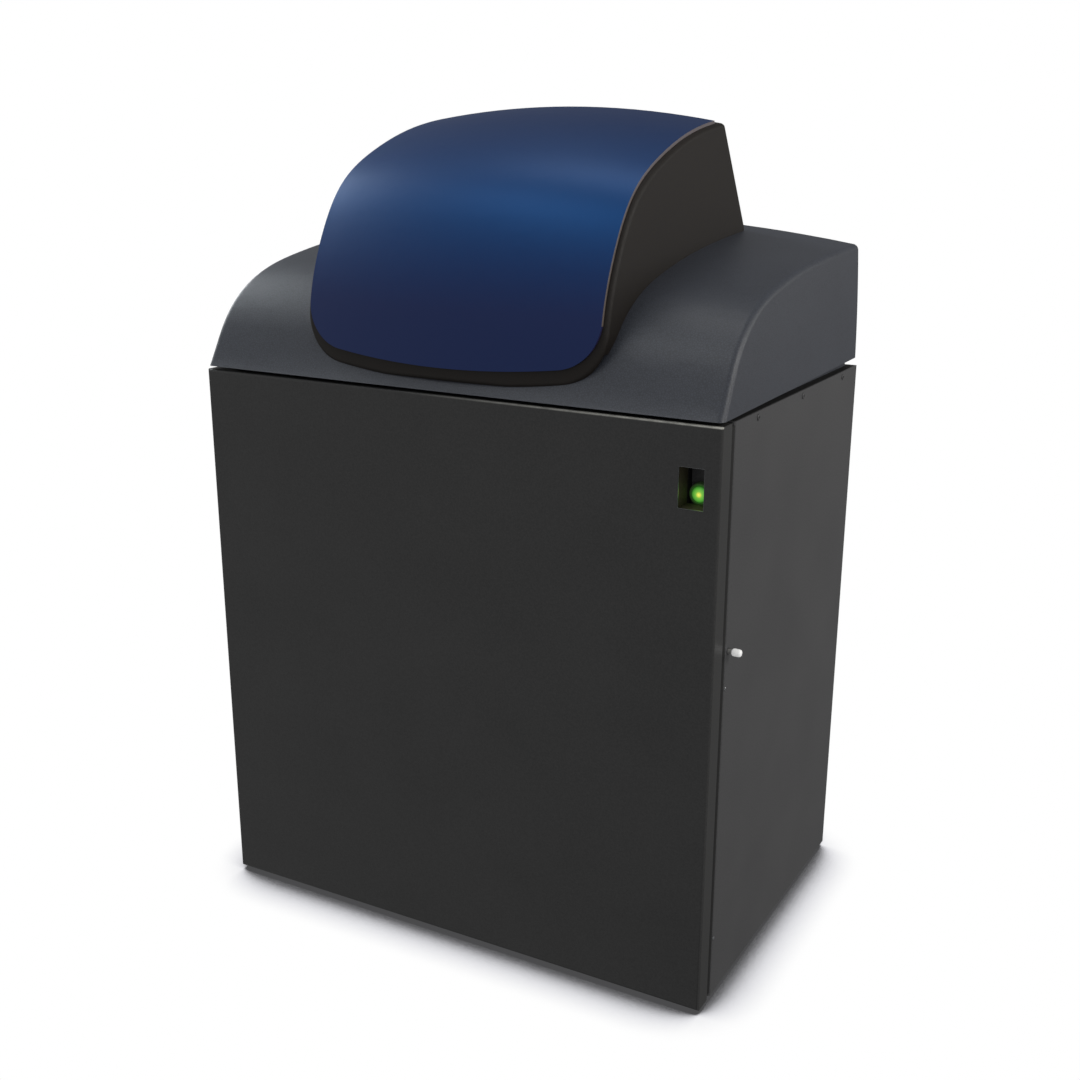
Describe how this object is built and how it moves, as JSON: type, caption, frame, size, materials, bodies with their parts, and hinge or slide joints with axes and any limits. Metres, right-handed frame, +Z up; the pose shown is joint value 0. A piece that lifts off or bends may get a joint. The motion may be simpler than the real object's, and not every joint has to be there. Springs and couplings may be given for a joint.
{
  "type": "gel documentation system",
  "caption": "Bench-top gel imaging cabinet with a hinged door, a slide-out UV drawer, and a camera and filter wheel under a moulded hood with a curved blue fascia.",
  "frame": {"origin": "centre of the footprint, on the surface the feet stand on", "axes": "+Z up, +Y from the door to the back, +X to the right seen from the front"},
  "size_m": [0.5296, 0.341, 0.7535],
  "materials": {
    "cabinet_paint": "fine textured powder coat",
    "door_paint": "fine textured powder coat",
    "darkroom_black": "matt black powder coat",
    "hood_plastic": "grained moulding",
    "dome_plastic": "fine grained moulding",
    "fascia_blue": "metallic lacquer on formed sheet",
    "foot_rubber": "moulded",
    "seal_foam": "closed-cell foam",
    "black_steel": "black oxide",
    "bright_steel": "turned and pressed steel",
    "zinc_sheet": "zinc-plated sheet",
    "bush_brass": "turned",
    "knob_white": "moulded",
    "switch_black": "moulded",
    "button_green": "lit translucent cap",
    "aluminium": "machined",
    "black_anodised": "black anodised",
    "motor_black": "enamelled",
    "lens_coated": "coated",
    "filter_tint": "interference filters",
    "uv_glass": "UV-pass filter glass",
    "tube_glass": "lamp tubes",
    "pinion_acetal": "moulded",
    "board_green": "solder resist",
    "opal": "opal diffuser"
  },
  "bodies": {
    "cabinet": {"base_pan": "cabinet_paint", "left_side_panel": "cabinet_paint", "right_side_panel": "cabinet_paint", "rear_panel": "cabinet_paint", "front_frame": "cabinet_paint", "deck_plate": "darkroom_black", "right_liner": "darkroom_black", "left_liner": "darkroom_black", "feet": "foot_rubber", "side_screws": "black_steel", "rear_screws": "black_steel", "door_seal": "seal_foam", "upper_hinge_post": "black_steel", "lower_hinge_post": "black_steel", "hinge_pins": "bright_steel", "lock_bush": "bush_brass", "switch_barrel": "switch_black", "hood": "hood_plastic", "dome_housing": "dome_plastic", "fascia_panel": "fascia_blue", "service_plate": "zinc_sheet", "mains_inlet": "switch_black", "usb_socket": "switch_black", "fan_frame": "switch_black", "wheel_spindle": "bright_steel", "spindle_collar": "bush_brass", "motor_bracket": "zinc_sheet", "gear_motor": "motor_black", "camera_posts": "aluminium", "camera_plate": "aluminium", "lens_barrel": "black_anodised", "lens_glass": "lens_coated", "camera_body": "black_anodised", "power_supply": "zinc_sheet", "control_board": "board_green", "light_bars": "black_anodised", "light_diffusers": "opal", "drawer_rails_fixed": "bright_steel"},
    "door": {"door_skin": "door_paint", "door_liner": "darkroom_black", "window_sleeve": "darkroom_black", "lock_tongue": "bright_steel", "upper_hinge_knuckle": "black_steel", "lower_hinge_knuckle": "black_steel"},
    "power_button": {"power_button": "button_green"},
    "lock_pin": {"lock_pin": "bright_steel", "lock_knob": "knob_white"},
    "filter_wheel": {"filter_wheel": "black_anodised", "filters": "filter_tint"},
    "drive_pinion": {"drive_pinion": "pinion_acetal", "motor_shaft": "bright_steel"},
    "fan_rotor": {"fan_rotor": "switch_black"},
    "drawer": {"drawer_rails_sliding": "bright_steel", "uv_housing": "darkroom_black", "filter_glass": "uv_glass", "glass_frame": "darkroom_black", "uv_tubes": "tube_glass", "lamp_holders": "pinion_acetal", "reflector": "aluminium", "drawer_handle": "bright_steel"}
  },
  "joints": [
    {"name": "door_hinge", "type": "hinge", "parent": "cabinet", "child": "door", "pos_m": [-0.2584, -0.16, 0.25], "axis": [0, 0, 1], "range_deg": [-110, 0]},
    {"name": "drawer_slide", "type": "slide", "parent": "cabinet", "child": "drawer", "axis": [0, -1, 0], "range_m": [0, 0.2]},
    {"name": "power_button_press", "type": "slide", "parent": "cabinet", "child": "power_button", "axis": [0, 1, 0], "range_m": [0, 0.0025], "stiffness_N_per_m": 400, "springref_m": -0.0005},
    {"name": "lock_pin_slide", "type": "slide", "parent": "cabinet", "child": "lock_pin", "axis": [-1, 0, 0], "range_m": [0, 0.003]},
    {"name": "filter_wheel_spin", "type": "hinge", "parent": "cabinet", "child": "filter_wheel", "pos_m": [-0.056, 0.04, 0.536], "axis": [0, 0, 1], "continuous": true},
    {"name": "drive_pinion_spin", "type": "hinge", "parent": "cabinet", "child": "drive_pinion", "pos_m": [-0.008, 0.12314, 0.536], "axis": [0, 0, 1], "continuous": true},
    {"name": "fan_spin", "type": "hinge", "parent": "cabinet", "child": "fan_rotor", "pos_m": [-0.066, 0.155, 0.578], "axis": [0, 1, 0], "continuous": true}
  ],
  "couplings": [
    {"joint": "drawer_slide", "follows": "door_hinge", "m_per_rad": -0.104},
    {"joint": "drive_pinion_spin", "follows": "filter_wheel_spin", "ratio": -5}
  ]
}
